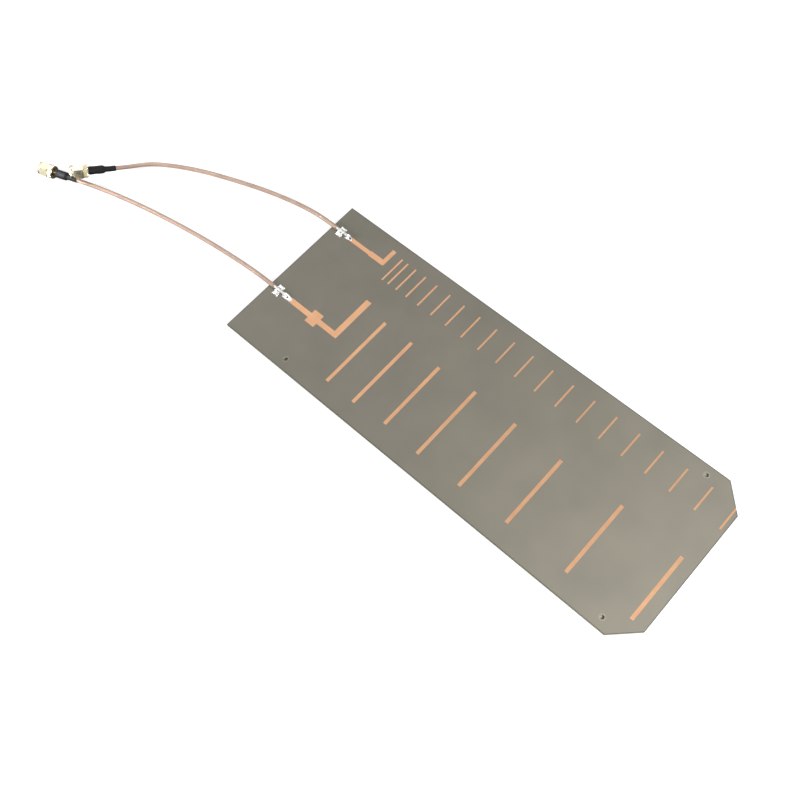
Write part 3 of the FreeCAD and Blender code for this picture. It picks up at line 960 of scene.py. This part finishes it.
def floor():
    bpy.ops.mesh.primitive_plane_add(size=floor_size, location=(0, 0, -floor_drop))
    plane = bpy.context.object
    plane.name = "floor"
    material, tree = new_material("floor")
    tree.nodes.clear()
    rays = add(tree, "ShaderNodeLightPath").outputs
    seen = maths(tree, "MAXIMUM", rays["Is Camera Ray"], rays["Is Glossy Ray"])
    seen = maths(tree, "MAXIMUM", seen, rays["Is Transmission Ray"])
    place = object_place(tree)
    far = ramp(tree, distance(tree, place, (0, 0, 0)), far_start, far_full)
    level = maths(tree, "ADD", floor_white, maths(tree, "MULTIPLY", far, far_white))
    outside = ramp(tree, edge_distance(tree, place), 0.0, under_board_run, 1.0, 0.0)
    level = maths(tree, "MULTIPLY", level, outside)
    # Painted shade: glossy rays see the floor darker close beside the plugs, so the nuts mirror a dark floor
    plug_shade_in_gloss = painted_plug_shade(tree, place)
    in_gloss = rays["Is Glossy Ray"]
    level = mix_number(tree, in_gloss, level, maths(tree, "MULTIPLY", level, plug_shade_in_gloss))
    shade = mix_number(tree, in_gloss, floor_shade, maths(tree, "MULTIPLY", plug_shade_in_gloss, dark_shade))
    grey = add(tree, "ShaderNodeCombineXYZ", {0: shade, 1: shade, 2: shade}).outputs[0]
    faint = add(tree, "ShaderNodeBsdfDiffuse", {"Color": grey}).outputs[0]
    glow = add(tree, "ShaderNodeEmission", {"Color": (1, 1, 1, 1), "Strength": level}).outputs[0]
    to_eye = add(tree, "ShaderNodeAddShader", {0: faint, 1: glow}).outputs[0]
    to_light = add(tree, "ShaderNodeBsdfDiffuse", {"Color": floor_grey}).outputs[0]
    shader = add(tree, "ShaderNodeMixShader", {0: seen, 1: to_light, 2: to_eye}).outputs[0]
    add(tree, "ShaderNodeOutputMaterial", {"Surface": shader}).is_active_output = True
    plane.data.materials.append(material)


# Studio: a white room to the camera and in gloss, darker towards the horizon, and dimmer as a light
room_light = 0.28
front_share = 0.5
overhead_range = (-0.4, 0.0)
overhead_gloss = (1.1, 0.8)
horizon_range = (0.1, 0.6)
horizon_gloss = (0.35, 0.01)
sky_range = (0.0, 0.7)


def studio():
    world = bpy.data.worlds.new("studio")
    bpy.context.scene.world = world
    world.use_nodes = True
    tree = world.node_tree
    rays = add(tree, "ShaderNodeLightPath").outputs
    x, y, z = components(tree, add(tree, "ShaderNodeTexCoord").outputs["Generated"])
    sideways = weighted(tree, x, 1.0, y, front_share)
    overhead = ramp(tree, sideways, *overhead_range, *overhead_gloss)
    horizon = ramp(tree, sideways, *horizon_range, *horizon_gloss)
    in_gloss = mix_number(tree, ramp(tree, z, *sky_range), horizon, overhead)
    strength = mix_number(tree, rays["Is Glossy Ray"], room_light, in_gloss)
    clear = maths(tree, "MAXIMUM", rays["Is Camera Ray"], rays["Is Transmission Ray"])
    background = tree.nodes["Background"].inputs
    put(tree, background["Color"], (1, 1, 1, 1))
    put(tree, background["Strength"], mix_number(tree, clear, strength, 1.0))


def aimed(place, aim):
    """The turn that points a lamp or the camera from its place at its aim."""
    return (Vector(aim) - Vector(place)).to_track_quat("-Z", "Y")


def area_light(name, place, aim, size, power):
    light = bpy.data.lights.new(name, "AREA")
    light.shape = "DISK"
    light.size = size
    light.energy = power
    lamp = show(name, light)
    lamp.location = place
    lamp.rotation_euler = aimed(place, aim).to_euler()


floor()
studio()
area_light("key", (-0.62, -0.50, 0.17), aim=(-0.22, -0.02, 0), size=0.4, power=0.5)
area_light("near_plugs", (-0.38, -0.13, 0.08), aim=(-0.26, -0.03, 0), size=0.08, power=0.68)
area_light("far_end", (0.36, -0.06, 0.30), aim=(0.10, 0, 0), size=0.2, power=2.6)
area_light("fill", (-0.75, 0.35, 0.9), aim=(-0.1, 0, 0), size=0.7, power=1.25)

# Camera, at the photograph's angle
camera_place = (0.1473, -0.1668, 0.47265)
camera_aim = (-0.03178, -0.02199, 0.0)
camera_roll = -9.645
camera_lens = 45.435
camera_data = bpy.data.cameras.new("camera")
camera_data.sensor_width = 36.0
camera_data.lens = camera_lens
camera_data.clip_start = 0.01
camera_data.clip_end = 20.0
camera = show("camera", camera_data)
camera.location = camera_place
roll = Matrix.Rotation(math.radians(camera_roll), 3, "Z")
camera.rotation_euler = (aimed(camera_place, camera_aim).to_matrix() @ roll).to_euler()
bpy.context.scene.camera = camera
bpy.context.scene.view_settings.view_transform = "Standard"
